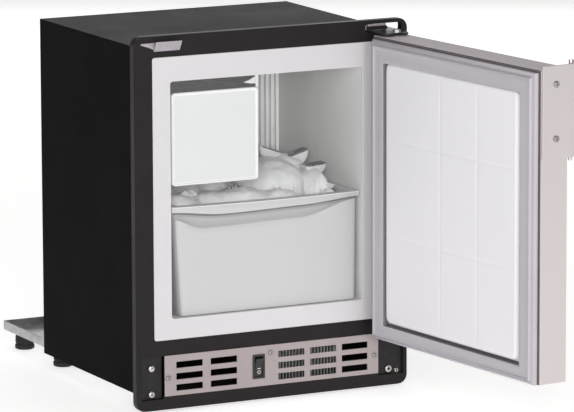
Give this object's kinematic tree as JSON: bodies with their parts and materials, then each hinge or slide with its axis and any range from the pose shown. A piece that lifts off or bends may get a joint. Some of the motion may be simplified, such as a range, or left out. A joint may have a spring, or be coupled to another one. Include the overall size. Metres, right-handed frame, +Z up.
{
  "type": "ice maker",
  "caption": "Compact built-in crescent-ice maker: insulated box with front flange, hinged door with rolled grip, ice bin, ice mechanism and refrigeration base.",
  "frame": {"origin": "centre of the bounding box on the plane the feet stand on, with the door open at its rest angle", "axes": "+Z up, -Y out of the front of the cabinet, +X towards the hinge side"},
  "size_m": [0.4285, 0.8252, 0.4732],
  "materials": {
    "dark_paint": "dark grey powder paint, slightly textured",
    "black_paint": "black textured powder paint",
    "taupe_paint": "taupe satin paint",
    "compressor_paint": "black enamel",
    "dark_steel": "dark satin",
    "dark_band": "dark grey, satin",
    "white_plastic": "white, satin moulded",
    "liner_plastic": "light grey vacuum-formed liner",
    "cover_plastic": "white, smooth moulded",
    "panel_plastic": "pale lavender white, fine grain",
    "bin_plastic": "frosted translucent",
    "black_plastic": "black satin",
    "gasket_rubber": "lavender grey extruded vinyl",
    "foot_rubber": "black rubber",
    "foam": "rigid polyurethane foam",
    "ice": "cloudy wet ice",
    "stainless_steel": "brushed stainless",
    "zinc_steel": "zinc plated",
    "galvanised_sheet": "galvanised, dull",
    "mould_aluminium": "cast and sheet aluminium",
    "copper": "copper tube"
  },
  "bodies": {
    "cabinet": {"cabinet_shell": "dark_paint", "base_pan": "galvanised_sheet", "rear_panel": "galvanised_sheet", "insulation_foam": "foam", "liner": "liner_plastic", "front_flange": "black_paint", "breaker_frame": "white_plastic", "grille_plate": "taupe_paint", "switch_housing": "black_plastic", "grille_screw_left": "zinc_steel", "grille_screw_middle": "zinc_steel", "grille_screw_right": "zinc_steel", "blank_screw_upper": "zinc_steel", "blank_screw_lower": "zinc_steel", "hinge_blank": "black_paint", "hinge_clamp_strip": "stainless_steel", "lower_hinge_bracket": "stainless_steel", "upper_hinge_bracket": "stainless_steel", "upper_hinge_pin": "zinc_steel", "upper_hinge_washer": "zinc_steel", "latch_strike": "stainless_steel", "foot_front_left": "foot_rubber", "foot_front_right": "foot_rubber", "foot_middle_left": "foot_rubber", "foot_middle_right": "foot_rubber", "foot_rear_left": "foot_rubber", "foot_rear_right": "foot_rubber", "evaporator_cover": "liner_plastic", "icemaker_cover": "cover_plastic", "icemaker_housing": "liner_plastic", "icemaker_top_band": "dark_band", "ice_mould": "mould_aluminium", "stripper": "white_plastic", "fill_cup": "white_plastic", "fill_tube": "white_plastic", "condenser": "mould_aluminium", "compressor": "compressor_paint", "discharge_tube": "copper", "suction_tube": "copper", "liquid_tube": "copper", "filter_drier": "copper", "fan_shroud": "galvanised_sheet", "fan_motor": "dark_steel", "water_valve": "white_plastic", "wiring_box": "galvanised_sheet", "power_inlet": "black_plastic"},
    "door": {"door_skin": "stainless_steel", "door_foam": "foam", "door_liner": "panel_plastic", "door_gasket": "gasket_rubber", "handle_plate": "stainless_steel", "handle_screw_upper": "zinc_steel", "handle_screw_lower": "zinc_steel"},
    "latch": {"latch_rod": "stainless_steel"},
    "bin": {"ice_bin": "bin_plastic", "ice_heap": "ice"},
    "rocker_switch": {"rocker": "black_plastic"},
    "ejector": {"ejector_shaft": "white_plastic"},
    "shutoff": {"shutoff_arm": "zinc_steel"},
    "fan": {"fan_blades": "black_plastic"}
  },
  "joints": [
    {"name": "door_hinge", "type": "hinge", "parent": "cabinet", "child": "door", "pos_m": [0.1337, -0.0754, 0.26], "axis": [0, 0, 1], "range_deg": [-96.43, 33.57]},
    {"name": "latch_slide", "type": "slide", "parent": "door", "child": "latch", "axis": [0, 0, 1], "range_m": [-0.006, 0.004], "stiffness_N_per_m": 500},
    {"name": "bin_slide", "type": "slide", "parent": "cabinet", "child": "bin", "axis": [0, -1, 0], "range_m": [0, 0.24]},
    {"name": "rocker_pivot", "type": "hinge", "parent": "cabinet", "child": "rocker_switch", "pos_m": [-0.04585, -0.0409, 0.0455], "axis": [1, 0, 0], "range_deg": [-14, 0]},
    {"name": "ejector_spin", "type": "hinge", "parent": "cabinet", "child": "ejector", "pos_m": [-0.1143, 0.09, 0.348], "axis": [0, 1, 0], "continuous": true},
    {"name": "shutoff_arm_pivot", "type": "hinge", "parent": "cabinet", "child": "shutoff", "pos_m": [-0.0793, 0.09, 0.303], "axis": [0, 1, 0], "range_deg": [-40, 20]},
    {"name": "fan_spin", "type": "hinge", "parent": "cabinet", "child": "fan", "pos_m": [-0.1073, 0.285, 0.095], "axis": [0, 1, 0], "continuous": true}
  ]
}
